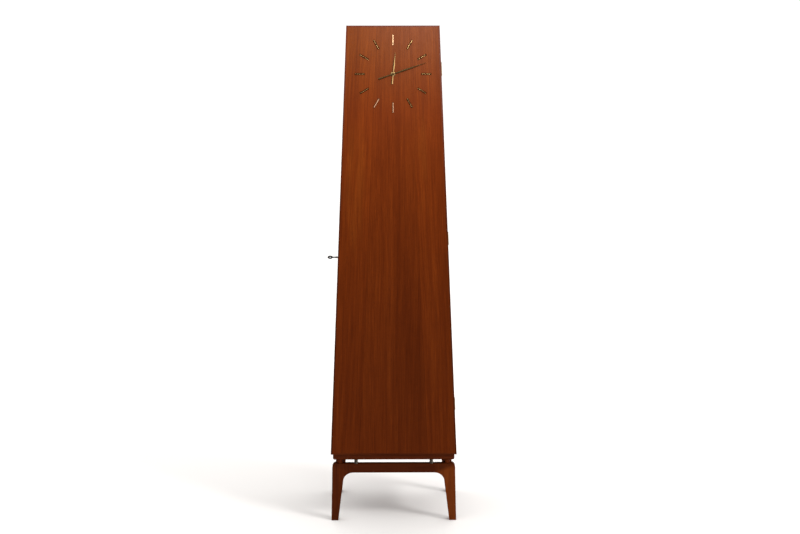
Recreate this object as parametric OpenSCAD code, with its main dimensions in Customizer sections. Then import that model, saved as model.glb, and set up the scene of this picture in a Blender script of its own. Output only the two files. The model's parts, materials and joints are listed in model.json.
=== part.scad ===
// Tall tapered teak cabinet with a clock on its single full-height door.
// Millimetres. Front faces -Y, the floor is z = 0, and the origin is the middle of the footprint.

/* [Overall size] */
// Height from the floor to the top edge of the door
height = 1900; // [1800:10:2000]
// Depth from the front of the door to the back of the cabinet
depth = 360; // [340:10:400]
// Width across the top edge of the door
top_w = 340; // [320:2:360]
// Width across the bottom edge of the door
bottom_w = 488; // [470:2:500]

/* [Door] */
// Height of the door's bottom edge above the floor
door_z = 273; // [270:1:290]
// Thickness of the door
door_t = 19; // [18:1:22]
// Width of the solid lipping round the door
lip_w = 6; // [4:1:8]
// Gap between the back of the door and the cabinet
door_gap = 1; // [1:0.5:2]

/* [Cabinet] */
// Thickness of the sides and the top
panel_t = 16; // [15:1:18]
// How far the sides stand in from the edges of the door
side_inset = 1; // [1:0.5:2]
// Thickness of the bottom board
board_t = 24; // [22:1:26]
// Half width of the bottom board
board_half_w = 236; // [230:1:238]
// Radius along the lower edges of the bottom board
board_round = 10; // [6:1:12]
// Thickness of the back panel
back_t = 6; // [4:1:8]
// Thickness of a shelf
shelf_t = 16; // [14:1:18]
// Height of the top of the lower shelf
lower_shelf_z = 656; // [500:1:800]
// Height of the top of the upper shelf
upper_shelf_z = 1496; // [1450:1:1550]
// Height of the row of coat pegs
peg_z = 1400; // [1350:1:1420]
// Spacing of the coat pegs
peg_pitch = 80; // [60:5:90]

/* [Stand] */
// Height of the stand's top above the floor
stand_h = 231; // [226:1:236]
// Height of a rail
rail_h = 36; // [34:1:42]
// Thickness of the front and rear rails
rail_t = 22; // [20:1:26]
// Thickness of a side rail
side_rail_t = 20; // [18:1:24]
// Distance from the middle of the stand to the outer face of a side rail
side_rail_out = 219; // [217:1:221]
// Depth of a leg, front to back
leg_d = 30; // [26:1:34]
// Half width of the stand at its top
stand_half_w = 239; // [235:1:241]
// Half width of the stand at the floor
foot_half_w = 244.6; // [242:0.2:246]
// Width of a foot on the floor
foot_w = 27; // [25:1:32]
// Radius of the curve between a leg and the front rail
knee_r = 38; // [34:1:42]
// Radius of the stand's upper outer corner
shoulder_r = 15; // [12:1:16]
// Distance from the middle to the front of the stand
stand_front = 166; // [160:1:168]

/* [Clock] */
// Height of the clock's centre
clock_z = 1726; // [1700:1:1750]
// Radius to the outer ends of the hour markers
marker_r = 141; // [130:1:145]
// Length of an hour marker
marker_l = 38; // [32:1:42]
// Width of an hour marker
marker_w = 7; // [6:0.5:9]
// Height of the ridge on an hour marker
marker_h = 4; // [3:0.5:5]
// Length of the hour hand from its centre
hour_l = 79; // [70:1:90]
// Length of the minute hand from its centre
minute_l = 128; // [115:1:132]
// Minutes past twelve that the hands show
minutes_past = 11.9; // [0:0.1:60]

/* [Hinges and lock] */
// Length of a hinge
hinge_l = 48; // [44:1:56]
// Radius of a hinge knuckle
knuckle_r = 2.75; // [2.5:0.05:3]
// Radius of a hinge pin
pin_r = 1.25; // [1.2:0.05:1.4]
// Height of the key
key_z = 1040; // [1000:1:1080]
// Distance from the cabinet's front edge back to the key
key_backset = 25; // [24:1:26]
// How far the key stands out of the side
key_out = 42; // [38:1:44]

/* [Hidden] */
$fn = 48;

// Edges of the door lean inwards by this much for each millimetre of height
slope = (bottom_w - top_w) / 2 / (height - door_z);
lean = atan(slope);
front_y = -depth / 2;
back_y = depth / 2;
door_back = front_y + door_t;
body_front = door_back + door_gap;
board_top = door_z - 2;
board_z = board_top - board_t;
board_front = front_y + 10;
body_top = height - 1;
rebate_w = 8;
shelf_front = body_front + 18;
shelf_gap = 1;
shelf_back = back_y - back_t - 1;
shelf_pin_r = 2.5;
// How far a shelf pin goes into a side, and stands out of it
pin_in = 9;
pin_out = 9;

hinge_y = (door_back + body_front) / 2;
hinge_zs = [471, 1115, 1744];
leaf_t = 1.2;
leaf_w = 15;
leaf_out = door_gap / 2;
knuckle_l = hinge_l / 5;
knuckle_play = 0.3;
leaf_hole_z = 15;
leaf_hole_x = -9.5;
fit = 0.05;

screw_r = 1.5;
screw_head_r = 2.85;

key_y = body_front + key_backset;
side_at_key = half(key_z) - side_inset;
case_x = -(side_at_key - panel_t) - 3.4;
case_d = 18;
case_in_x = case_x + case_d;
case_wall = 1.5;
case_y = [key_y - 23, key_y + 25];
case_z = [key_z - 32, key_z + 32];
post_ys = [key_y - 18.5, key_y + 20.5];
post_zs = [key_z - 25, key_z + 25];
plug_r = 5;
journal_r = 3;
crank_r = 7;
crank_pin_r = 1.5;
disc_x = case_x + 6.5;
disc_t = 2.5;
bolt_t = 2.5;
bolt_x = case_x + 11;
keep_z = case_z[1] + 4;
keep_t = 2;
keep_x = [bolt_x - 3.5, bolt_x + 7.5];

movement_w = 84;
movement_d = 32;
movement_wall = 2.5;
battery_r = 13;
battery_l = 50;
battery_z = clock_z - 25;
movement_back = door_back + movement_d;
battery_y = movement_back - battery_r - 1;
bush_r = 4;
bush_end = front_y - 3.3;
sleeve_r = 2.5;
arbor_r = 1.6;
wheel_r = 8;
wheel_t = 5;
wheel_gap = 0.4;
minute_angle = minutes_past * 6;
hour_angle = minutes_past / 2;

spacer_x = 146.5;
spacer_y = stand_front - 7.5;
spacer_r = 7;
spacer_top = board_z + 6;
corner_x = side_rail_out - side_rail_t / 2;
corner_y = 150;
corner_r = 10;
base_screw_r = 2.5;
screw_sink = 10;
dowel_r = 3.5;
dowel_l = 50;
dowel_zs = [stand_h - 26, stand_h - 10];
dowel_y = stand_front - 16.5;

// The inner edge of a leg leans by leg_slope, and the knee is a circle tangent to it and to the rail
rail_z = stand_h - rail_h;
leg_slope = 0.1238;
leg_in = foot_half_w - foot_w;
arm_x = leg_in - 22;
knee_z = rail_z - knee_r;
knee_x = leg_in - leg_slope * knee_z - knee_r * sqrt(1 + leg_slope * leg_slope);
leg_y = stand_front - leg_d;
side_arch_r = 30;
taper_z = 158;
taper = 5;

MARKERS = [for (h = [1:12]) str("hour_marker_", h)];
HINGES = ["lower", "middle", "upper"];

teak = "#7a3a18";
teak_dark = "#5a2610";
steel = "#9a958c";
brass = "#b08d4a";
black = "#2a2a2a";

// Half width of the door at height z
function half(z) = top_w / 2 + (height - z) * slope;

// An outline in x and z, drawn out along y from y0 to y1
module slab(y0, y1) { translate([0, y1, 0]) rotate([90, 0, 0]) linear_extrude(y1 - y0) children(); }

// An outline in y and z, drawn out along x from x0 to x1
module side_slab(x0, x1) { translate([x0, 0, 0]) rotate([90, 0, 90]) linear_extrude(x1 - x0) children(); }

// A box given by its low and high corners
module block(low, high) { translate(low) cube(high - low); }

// A rod along x or along y
module rod_x(r, x0, x1) { translate([x0, 0, 0]) rotate([0, 90, 0]) cylinder(r = r, h = x1 - x0); }
module rod_y(r, y0, y1) { translate([0, y1, 0]) rotate([90, 0, 0]) cylinder(r = r, h = y1 - y0); }

// A strip that follows the leaning edges, from the inset a to the inset b of the door's outline
module leaning_strip(z0, z1, a, b) {
    polygon([[half(z0) - a, z0], [half(z1) - a, z1], [half(z1) - b, z1], [half(z0) - b, z0]]);
}

// The whole width between the leaning edges, less an inset at each end
module leaning_panel(z0, z1, inset) {
    low = half(z0) - inset;
    high = half(z1) - inset;
    polygon([[-low, z0], [low, z0], [high, z1], [-high, z1]]);
}

module mirrored(axis) { children(); mirror(axis) children(); }

// ---- Hinges: the pin line leans with the right edge of the door ----

module at_hinge(z) { translate([half(z), hinge_y, z]) rotate([0, -lean, 0]) children(); }

module at_hinge_screws() {
    for (z = [-leaf_hole_z, leaf_hole_z]) translate([leaf_hole_x, 0, z]) children();
}

// One knuckle of the five, counted from the bottom
module knuckle(i) {
    translate([0, 0, -hinge_l / 2 + i * knuckle_l + knuckle_play / 2])
        cylinder(r = knuckle_r, h = knuckle_l - knuckle_play);
}

// Room for the other leaf's knuckle
module knuckle_room(i) {
    translate([0, 0, -hinge_l / 2 + i * knuckle_l - knuckle_play / 2])
        cylinder(r = knuckle_r + 0.35, h = knuckle_l + knuckle_play);
}

// A leaf that lies behind the pin line, with its own knuckles and room for the others
module leaf(own, other) {
    difference() {
        union() {
            difference() {
                block([-leaf_w, leaf_out, -hinge_l / 2 + 0.1], [0, leaf_out + leaf_t, hinge_l / 2 - 0.1]);
                for (i = other) knuckle_room(i);
            }
            for (i = own) knuckle(i);
        }
        translate([0, 0, -hinge_l]) cylinder(r = pin_r + fit, h = 2 * hinge_l);
        at_hinge_screws() translate([0, leaf_out - 0.05, 0]) rotate([-90, 0, 0])
            cylinder(r1 = screw_head_r + 0.15, r2 = screw_r + 0.15, h = leaf_t + 0.1);
    }
}

module hinge_frame_leaf(z) { color(brass) at_hinge(z) leaf([0, 2, 4], [1, 3]); }
module hinge_door_leaf(z) { color(brass) at_hinge(z) mirror([0, 1, 0]) leaf([1, 3], [0, 2, 4]); }

module hinge_pins() {
    color(brass) for (z = hinge_zs) at_hinge(z) {
        translate([0, 0, -hinge_l / 2 - 0.8]) cylinder(r = pin_r, h = hinge_l + 1.6);
        mirrored([0, 0, 1]) translate([0, 0, hinge_l / 2]) cylinder(r = 2.2, h = 1.2);
    }
}

// The shallow bed of a leaf in the wood, and the room for the barrel
module leaf_bed() {
    block([-leaf_w - 0.2, leaf_out - 1, -hinge_l / 2], [6, leaf_out + leaf_t + fit, hinge_l / 2]);
    translate([0, 0, -hinge_l / 2 - 1.6]) cylinder(r = knuckle_r + 0.5, h = hinge_l + 3.2);
}

module frame_leaf_beds() {
    for (z = hinge_zs) at_hinge(z) {
        leaf_bed();
        at_hinge_screws() rod_y(screw_r + fit, 0, 17);
    }
}

module door_leaf_beds() {
    for (z = hinge_zs) at_hinge(z) mirror([0, 1, 0]) {
        leaf_bed();
        at_hinge_screws() rod_y(screw_r + fit, 0, 14);
    }
}

// A countersunk screw along +y, its head's face at y = 0
module screw(l) {
    difference() {
        union() {
            rotate([-90, 0, 0]) cylinder(r1 = screw_head_r, r2 = screw_r, h = leaf_t);
            rod_y(screw_r, leaf_t, l - 1.5);
            translate([0, l - 1.5, 0]) rotate([-90, 0, 0]) cylinder(r1 = screw_r, r2 = 0.4, h = 1.5);
        }
        block([-4, -1, -0.35], [4, 0.5, 0.35]);
    }
}

// ---- Cabinet ----

module side_blank() {
    difference() {
        slab(body_front, back_y) leaning_strip(board_top, body_top, side_inset, side_inset + panel_t);
        slab(back_y - back_t, back_y + 1)
            leaning_strip(board_top - 1, body_top + 1, side_inset + rebate_w, side_inset + panel_t + 1);
    }
}

// Holes for the shelf pins, in one side
module pin_holes() { at_shelf_pins() rod_x(shelf_pin_r + fit, -pin_in, 3); }

module side_right() {
    color(teak) difference() {
        side_blank();
        pin_holes();
        frame_leaf_beds();
    }
}

module side_left() {
    color(teak) difference() {
        mirror([1, 0, 0]) side_blank();
        mirror([1, 0, 0]) pin_holes();
        block([case_x - fit, case_y[0] - fit, case_z[0] - fit],
            [case_in_x, case_y[1] + fit, case_z[1] + fit]);
        translate([0, key_y, key_z]) rod_x(plug_r + 0.1, -half(0), case_x + 1);
        for (y = post_ys, z = post_zs) translate([0, y, z]) rod_x(screw_r + fit, case_x - 9.5, case_x + 1);
    }
}

module top_panel() {
    color(teak) difference() {
        slab(body_front, back_y) leaning_panel(body_top - panel_t, body_top, side_inset + panel_t);
        block([-half(0), back_y - back_t, body_top - panel_t - 1],
            [half(0), back_y + 1, body_top - rebate_w]);
    }
}

// The board's section: square upper edges and round lower edges
module board_section(a, b) {
    translate([a, board_z + board_round]) square([b - a, board_t - board_round]);
    translate([a + board_round, board_z]) square([b - a - 2 * board_round, board_t]);
    for (x = [a + board_round, b - board_round])
        translate([x, board_z + board_round]) circle(r = board_round);
}

module bottom_board() {
    color(teak_dark) difference() {
        intersection() {
            slab(board_front, back_y) board_section(-board_half_w, board_half_w);
            side_slab(-board_half_w, board_half_w) board_section(board_front, back_y);
        }
        at_metal_spacers() {
            translate([0, 0, board_z - 1]) cylinder(r = spacer_r + 0.1, h = spacer_top - board_z + 1);
            cylinder(r = base_screw_r + fit, h = board_z + 17.5);
        }
    }
}

module back_panel() {
    color(teak) difference() {
        slab(back_y - back_t, back_y)
            leaning_panel(board_top, body_top - rebate_w, side_inset + rebate_w);
        at_pegs() rod_y(screw_r + fit, back_y - back_t - 1, back_y + 1);
    }
}

module shelf(z) {
    color(teak) slab(shelf_front, shelf_back)
        leaning_panel(z - shelf_t, z, side_inset + panel_t + shelf_gap);
}
module shelf_upper() { shelf(upper_shelf_z); }
module shelf_lower() { shelf(lower_shelf_z); }

// Right-hand side only: under a shelf, at the side's inner face
module at_shelf_pins() {
    for (z = [lower_shelf_z, upper_shelf_z] - [1, 1] * (shelf_t + shelf_pin_r),
        y = [shelf_front + 40, shelf_back - 40])
        translate([half(z) - side_inset - panel_t, y, z]) rotate([0, 0, 180]) children();
}

module shelf_pins() {
    color(brass) mirrored([1, 0, 0]) at_shelf_pins() rod_x(shelf_pin_r, -pin_in + 0.5, pin_out);
}

module at_pegs() { for (x = [-1, 0, 1] * peg_pitch) translate([x, 0, peg_z]) children(); }

module coat_pegs() {
    face = back_y - back_t;
    color(brass) at_pegs() {
        rod_y(11, face - 3, face);
        rod_y(4, face - 40, face);
        translate([0, face - 42, 0]) sphere(r = 8);
        rod_y(screw_r, face, face + back_t - 0.5);
    }
}

// ---- Stand ----

module at_metal_spacers() {
    for (x = [-1, 1] * spacer_x, y = [-1, 1] * spacer_y) translate([x, y, 0]) children();
}

// Cuts a square upper outer corner of the stand down to its round shoulder
module shoulder_cut() {
    translate([stand_half_w, stand_h] - [1, 1] * shoulder_r) difference() {
        square(2 * shoulder_r);
        circle(r = shoulder_r);
    }
}

// The right leg seen from the front, with the curved knee that meets the rail
module leg_outline() {
    knee_end = [knee_x, knee_z] + knee_r * [1, leg_slope] / sqrt(1 + leg_slope * leg_slope);
    difference() {
        polygon([[knee_x, stand_h], [stand_half_w, stand_h], [stand_half_w, stand_h - shoulder_r],
            [foot_half_w, 0], [leg_in, 0], knee_end, [knee_x, knee_z]]);
        shoulder_cut();
        translate([knee_x, knee_z]) circle(r = knee_r);
    }
}

// The front leg seen from the side: it narrows towards the floor
module leg_side_outline() {
    polygon([[-stand_front, 0], [-stand_front, stand_h], [-leg_y, stand_h], [-leg_y, taper_z],
        [-leg_y - taper, 0]]);
}

// The arm of a leg is planed down to the thickness of the rail
module leg() {
    color(teak_dark) difference() {
        intersection() {
            slab(-stand_front, -leg_y) leg_outline();
            side_slab(0, foot_half_w) leg_side_outline();
        }
        block([0, -stand_front + rail_t, 0], [arm_x, 0, stand_h + 1]);
        right_front_dowels(fit, 0.5);
    }
}

module leg_front_right() { leg(); }
module leg_front_left() { mirror([1, 0, 0]) leg(); }
module leg_rear_right() { mirror([0, 1, 0]) leg(); }
module leg_rear_left() { mirror([1, 0, 0]) mirror([0, 1, 0]) leg(); }

module rail() {
    color(teak_dark) difference() {
        block([-knee_x, -stand_front, rail_z], [knee_x, -stand_front + rail_t, stand_h]);
        mirrored([1, 0, 0]) right_front_dowels(fit, 0.5);
        at_metal_spacers() {
            cylinder(r = base_screw_r + fit, h = height);
            cylinder(r = 5, h = rail_z + screw_sink);
        }
    }
}
module rail_front() { rail(); }
module rail_rear() { mirror([0, 1, 0]) rail(); }

// The side rail seen from the side: a straight rail with a curve down to each leg
module side_rail_outline() {
    difference() {
        translate([-leg_y, rail_z - side_arch_r]) square([2 * leg_y, rail_h + side_arch_r]);
        translate([-leg_y + side_arch_r, rail_z - side_arch_r - 1])
            square([2 * (leg_y - side_arch_r), side_arch_r + 1]);
        for (y = [-1, 1] * (leg_y - side_arch_r))
            translate([y, rail_z - side_arch_r]) circle(r = side_arch_r);
    }
}

module side_rail() {
    color(teak_dark) difference() {
        side_slab(side_rail_out - side_rail_t, side_rail_out) side_rail_outline();
        mirrored([0, 1, 0]) right_front_dowels(fit, 0.5);
    }
}
module rail_right() { side_rail(); }
module rail_left() { mirror([1, 0, 0]) side_rail(); }

// Dowels of the right front corner, grown by a radius and a length to make their holes
module right_front_dowels(more_r, more_l) {
    reach = dowel_l / 2 + more_l;
    side_reach = 12 + more_l;
    for (z = dowel_zs) {
        translate([knee_x, -dowel_y, z]) rod_x(dowel_r + more_r, -reach, reach);
        translate([corner_x, -leg_y, z])
            rod_y(dowel_r + more_r, -side_reach, side_reach);
    }
}

module stand_dowels() {
    color("tan") for (x = [0, 1], y = [0, 1]) mirror([x, 0, 0]) mirror([0, y, 0]) right_front_dowels(0, 0);
}

module corner_spacers() {
    color(teak) for (x = [-1, 1] * corner_x, y = [-1, 1] * corner_y)
        translate([x, y, stand_h]) cylinder(r = corner_r, h = board_z - stand_h);
}

module metal_spacers() {
    color(steel) at_metal_spacers() translate([0, 0, stand_h]) difference() {
        cylinder(r = spacer_r, h = spacer_top - stand_h);
        translate([0, 0, -1]) cylinder(r = base_screw_r + fit, h = spacer_top);
    }
}

module base_screws() {
    head_z = rail_z + screw_sink - 3;
    color(steel) at_metal_spacers() translate([0, 0, head_z]) difference() {
        union() {
            cylinder(r = 4.5, h = 3);
            cylinder(r = base_screw_r, h = board_z + 17 - head_z);
        }
        translate([0, 0, -1]) cylinder(r = 2, h = 3, $fn = 6);
    }
}

// ---- Lock ----

module lock_case() {
    cut = case_in_x - case_wall;
    color(black) difference() {
        union() {
            difference() {
                block([case_x, case_y[0], case_z[0]], [case_in_x, case_y[1], case_z[1]]);
                block([case_x - 1, case_y[0] + case_wall, case_z[0] + case_wall],
                    [cut, case_y[1] - case_wall, case_z[1] - case_wall]);
            }
            for (y = post_ys, z = post_zs) translate([0, y, z]) rod_x(4, case_x, cut + 0.5);
        }
        for (y = post_ys, z = post_zs) translate([0, y, z]) {
            rod_x(screw_r + fit, case_x - 1, case_in_x + 1);
            translate([case_in_x - leaf_t, 0, 0]) rotate([0, 90, 0])
                cylinder(r1 = screw_r + 0.15, r2 = screw_head_r + 0.15, h = leaf_t + 0.05);
        }
        translate([0, key_y, key_z]) rod_x(journal_r + 0.08, cut - 1, case_in_x + 1);
        block([bolt_x - 0.4, key_y - 7.4, key_z], [bolt_x + bolt_t + 0.4, key_y + 5.4, case_z[1] + 1]);
    }
}

// Turned by the key: a barrel in the side, a disc with a crank pin, and a journal in the case
module lock_plug() {
    color(brass) translate([0, key_y, key_z]) {
        difference() {
            rod_x(plug_r, -side_at_key - 0.8, disc_x);
            rod_x(2.85, -half(0), disc_x - 1);
            block([-half(0), -1.1, -6], [disc_x - 1, 1.1, 0]);
        }
        rod_x(9.5, disc_x, disc_x + disc_t);
        rod_x(journal_r, disc_x + disc_t, case_in_x);
        rotate([-45, 0, 0]) translate([0, crank_r, 0])
            rod_x(crank_pin_r, disc_x + disc_t, bolt_x + bolt_t + 1);
    }
}

// Slides up when the crank pin rises in its cross slot
module lock_bolt() {
    rise = crank_r * sin(45);
    color(steel) translate([bolt_x, key_y, key_z]) difference() {
        union() {
            block([0, -9, -24], [bolt_t, 11, 20]);
            block([0, -7, 19], [bolt_t, 5, 35.5]);
        }
        block([-1, -3.4, -2 * rise - 3.4], [bolt_t + 1, 3.4, 3.4]);
        block([-1, 3, -rise - 2], [bolt_t + 1, 9, -rise + 2]);
    }
}

module escutcheon() {
    color(brass) translate([-side_at_key, key_y, key_z]) rotate([0, lean, 0]) difference() {
        rod_x(11, -1, 0);
        rod_x(plug_r + 0.5, -3, 3);
    }
}

// The key's shank, collar, oval bow and bit
module key() {
    tip = -side_at_key - key_out;
    bow_l = 20;
    bow_h = 13;
    color(black) translate([0, key_y, key_z]) {
        rod_x(2.75, tip + bow_l - 1.5, disc_x - 2);
        rod_x(3.9, -side_at_key - 11, -side_at_key - 8);
        block([-side_at_key + 2, -0.9, -4.6], [disc_x - 3, 0.9, 0]);
        translate([tip + bow_l / 2, 1.3, 0]) rotate([90, 0, 0]) linear_extrude(2.6) difference() {
            scale([bow_l / bow_h, 1]) circle(d = bow_h);
            scale([1.9, 1]) circle(d = 4.4);
        }
    }
}

// Bracket on the back of the door that the bolt rises into
module lock_keep() {
    color(steel) difference() {
        union() {
            block([keep_x[0], door_back, keep_z], [keep_x[1], key_y + 10, keep_z + keep_t]);
            block([keep_x[0], door_back, keep_z], [keep_x[1] + 16, door_back + 1.5, keep_z + 34]);
        }
        block([bolt_x - 0.9, key_y - 8, keep_z - 1],
            [bolt_x + bolt_t + 0.9, key_y + 6, keep_z + keep_t + 1]);
        at_keep_screws() translate([0, 1.55, 0]) rotate([90, 0, 0])
            cylinder(r1 = screw_head_r + 0.15, r2 = screw_r + 0.15, h = 1.6);
    }
}

module at_keep_screws() {
    for (z = [keep_z + 12, keep_z + 26]) translate([keep_x[1] + 6, door_back, z]) children();
}

module frame_screws() {
    color(steel) {
        for (z = hinge_zs) at_hinge(z) at_hinge_screws() translate([0, leaf_out, 0]) screw(16);
        for (y = post_ys, z = post_zs) translate([case_in_x, y, z]) rotate([0, 0, 90]) screw(case_d + 9);
    }
}

module door_screws() {
    color(steel) {
        for (z = hinge_zs) at_hinge(z) mirror([0, 1, 0]) at_hinge_screws()
            translate([0, leaf_out, 0]) screw(13);
        at_keep_screws() translate([0, 1.5, 0]) mirror([0, 1, 0]) screw(13);
    }
}

// ---- Door ----

module door_cuts() {
    door_leaf_beds();
    at_keep_screws() rod_y(screw_r + fit, -13, 1);
    translate([0, 0, clock_z]) rod_y(bush_r + 0.1, front_y - 1, door_back + 1);
}

module door_panel() {
    color(teak) difference() {
        slab(front_y, door_back) leaning_panel(door_z + lip_w, height - lip_w, lip_w);
        door_cuts();
    }
}

module door_lip_right() {
    color(teak_dark) difference() {
        slab(front_y, door_back) leaning_strip(door_z, height, 0, lip_w);
        door_leaf_beds();
    }
}

module door_lip_left() {
    color(teak_dark) mirror([1, 0, 0]) slab(front_y, door_back) leaning_strip(door_z, height, 0, lip_w);
}

module door_lip_top() {
    color(teak_dark) slab(front_y, door_back) leaning_panel(height - lip_w, height, lip_w);
}
module door_lip_bottom() {
    color(teak_dark) slab(front_y, door_back) leaning_panel(door_z, door_z + lip_w, lip_w);
}

// ---- Clock ----

// Turned clockwise, seen from the front, about the clock's centre
module at_clock(angle) { translate([0, 0, clock_z]) rotate([0, angle, 0]) children(); }

module hour_marker(h) {
    color(brass) at_clock(30 * h) translate([0, front_y, marker_r - marker_l]) linear_extrude(marker_l)
        polygon([[-marker_w / 2, 0], [marker_w / 2, 0], [0.6, -marker_h], [-0.6, -marker_h]]);
}

// A slim hand, widest at a third of its length, with a counterweight tail
module hand_outline(l, w, tail) {
    waist = 1.4;
    polygon([[-waist, 0], [-w / 2, l * 0.34], [-0.4, l], [0.4, l], [w / 2, l * 0.34], [waist, 0],
        [w * 0.45, -tail], [-w * 0.45, -tail]]);
}

module hour_hand() {
    color(brass) at_clock(hour_angle) difference() {
        union() {
            slab(front_y - 5.2, front_y - 4.2) hand_outline(hour_l, 7, 36);
            rod_y(4.6, front_y - 6, front_y - 4);
            rod_y(sleeve_r, front_y - 5, front_y + 14);
        }
        rod_y(arbor_r + 0.1, front_y - 8, front_y + 16);
    }
}

module minute_hand() {
    color(brass) at_clock(minute_angle) {
        slab(front_y - 9.2, front_y - 8.2) hand_outline(minute_l, 6, 56);
        rod_y(4.2, front_y - 9.6, front_y - 7.2);
        rod_y(arbor_r, front_y - 8, movement_back + wheel_gap + wheel_t);
        rod_y(1.25, front_y - 12, front_y - 9);
    }
}

module hand_nut() {
    color(brass) at_clock(minute_angle) difference() {
        union() {
            rod_y(3.2, front_y - 11.4, front_y - 9.65);
            translate([0, front_y - 11.4, 0]) intersection() {
                sphere(r = 3.2);
                rod_y(4, -4, 0);
            }
        }
        rod_y(1.3, front_y - 12.1, front_y - 9);
    }
}

module movement_nut() {
    color(brass) at_clock(0) difference() {
        rod_y(9, front_y - 2.5, front_y);
        rod_y(bush_r + fit, front_y - 4, front_y + 1);
    }
}

// A tray open towards the door, with the threaded bush through the door and a trough for the battery
module movement_case() {
    half_w = movement_w / 2;
    trough = battery_r + 1.2;
    color(black) difference() {
        union() {
            difference() {
                block([-half_w, door_back, clock_z - half_w], [half_w, movement_back, clock_z + half_w]);
                block([movement_wall - half_w, door_back - 1, clock_z - half_w + movement_wall],
                    [half_w - movement_wall, movement_back - movement_wall,
                        clock_z + half_w - movement_wall]);
            }
            block([-battery_l / 2 - 4, battery_y - trough - 1.5, battery_z - trough - 1.8],
                [battery_l / 2 + 4, movement_back, battery_z + trough + 1.8]);
            at_clock(0) rod_y(bush_r + 3, door_back, movement_back);
            at_clock(0) rod_y(bush_r, bush_end, movement_back);
        }
        block([-battery_l / 2 - 1.5, battery_y - trough, battery_z - trough],
            [battery_l / 2 + 1.5, movement_back + 1, battery_z + trough]);
        at_clock(0) rod_y(sleeve_r + 0.1, bush_end - 1, movement_back - movement_wall);
        at_clock(0) rod_y(arbor_r + 0.1, movement_back - movement_wall - 1, movement_back + 1);
    }
}

module battery() {
    color("#3b4a3f") translate([0, battery_y, battery_z]) {
        rod_x(battery_r, -battery_l / 2, battery_l / 2 - 2);
        rod_x(3.2, battery_l / 2 - 3, battery_l / 2);
    }
}

// Knurled wheel on the back end of the minute hand's arbor, for setting the time
module set_wheel() {
    near = movement_back + wheel_gap;
    color(brass) at_clock(minute_angle) difference() {
        rod_y(wheel_r, near, near + wheel_t);
        rod_y(arbor_r + fit, near - 1, near + wheel_t + 1);
        for (a = [0:20:340]) rotate([0, a, 0]) translate([wheel_r + 0.3, 0, 0])
            rod_y(0.8, near - 1, near + wheel_t + 1);
    }
}

side_left();
side_right();
top_panel();
bottom_board();
back_panel();
shelf_upper();
shelf_lower();
shelf_pins();
coat_pegs();
leg_front_left();
leg_front_right();
leg_rear_left();
leg_rear_right();
rail_front();
rail_rear();
rail_left();
rail_right();
corner_spacers();
metal_spacers();
base_screws();
stand_dowels();
frame_screws();
hinge_pins();
lock_case();
lock_plug();
lock_bolt();
escutcheon();
key();
door_panel();
door_lip_left();
door_lip_right();
door_lip_top();
door_lip_bottom();
lock_keep();
door_screws();
movement_case();
movement_nut();
battery();
set_wheel();
hour_hand();
minute_hand();
hand_nut();
for (i = [0:2]) {
    hinge_frame_leaf(hinge_zs[i]);
    hinge_door_leaf(hinge_zs[i]);
}
for (h = [1:12]) hour_marker(h);
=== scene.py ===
import json
import math

import bmesh
import bpy
from mathutils import Matrix, Vector

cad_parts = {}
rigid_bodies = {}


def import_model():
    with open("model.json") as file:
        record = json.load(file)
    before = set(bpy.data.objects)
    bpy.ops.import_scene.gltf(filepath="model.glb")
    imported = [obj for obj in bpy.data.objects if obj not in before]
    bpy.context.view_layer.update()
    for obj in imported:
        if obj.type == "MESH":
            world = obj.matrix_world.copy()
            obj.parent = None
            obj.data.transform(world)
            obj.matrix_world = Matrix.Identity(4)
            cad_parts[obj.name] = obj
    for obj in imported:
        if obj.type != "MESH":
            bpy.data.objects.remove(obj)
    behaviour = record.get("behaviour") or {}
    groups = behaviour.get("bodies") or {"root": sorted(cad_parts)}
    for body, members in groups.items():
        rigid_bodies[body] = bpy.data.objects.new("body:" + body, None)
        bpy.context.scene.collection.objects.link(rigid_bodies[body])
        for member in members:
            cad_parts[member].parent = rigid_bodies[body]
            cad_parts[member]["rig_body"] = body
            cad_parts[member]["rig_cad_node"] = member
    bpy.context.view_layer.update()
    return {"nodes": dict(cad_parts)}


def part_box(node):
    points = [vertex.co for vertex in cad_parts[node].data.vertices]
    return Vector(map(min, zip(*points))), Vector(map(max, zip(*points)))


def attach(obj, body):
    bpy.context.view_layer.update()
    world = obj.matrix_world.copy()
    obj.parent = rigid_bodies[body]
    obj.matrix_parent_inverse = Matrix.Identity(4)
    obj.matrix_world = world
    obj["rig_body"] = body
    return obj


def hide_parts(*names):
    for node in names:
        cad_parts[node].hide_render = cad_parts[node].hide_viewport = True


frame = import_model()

MM = 0.001

# ---- Sizes read from the frame ----

door_low, door_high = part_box("door_panel")
lip_low, lip_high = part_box("door_lip_right")
FRONT = door_low.y
DOOR_BACK = door_high.y
HEIGHT = lip_high.z
DOOR_FOOT = lip_low.z
LIP = 6 * MM
HALF_TOP = lip_low.x + LIP
HALF_FOOT = lip_high.x
SLOPE = (HALF_FOOT - HALF_TOP) / (HEIGHT - DOOR_FOOT)
LEAN = math.atan(SLOPE)
BODY_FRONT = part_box("side_left")[0].y
HINGE_Y = (DOOR_BACK + BODY_FRONT) / 2
CLOCK = Vector((0, FRONT, (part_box("hour_marker_12")[1].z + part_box("hour_marker_6")[0].z) / 2))
STAND_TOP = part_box("rail_front")[1].z
RAIL_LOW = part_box("rail_front")[0].z
KEY_AT = Vector((0, -135 * MM, 1040 * MM))
MIRROR_X = Matrix.Scale(-1, 4, (1, 0, 0))
MIRROR_Y = Matrix.Scale(-1, 4, (0, 1, 0))


def half(z):
    """Half width of the tapered body at height z."""
    return HALF_TOP + (HEIGHT - z) * SLOPE


# ---- Modelling by hand ----

def clear():
    """Leaves edit mode and lets go of everything."""
    if bpy.context.object and bpy.context.object.mode != "OBJECT":
        bpy.ops.object.mode_set(mode="OBJECT")
    bpy.ops.object.select_all(action="DESELECT")


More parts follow.
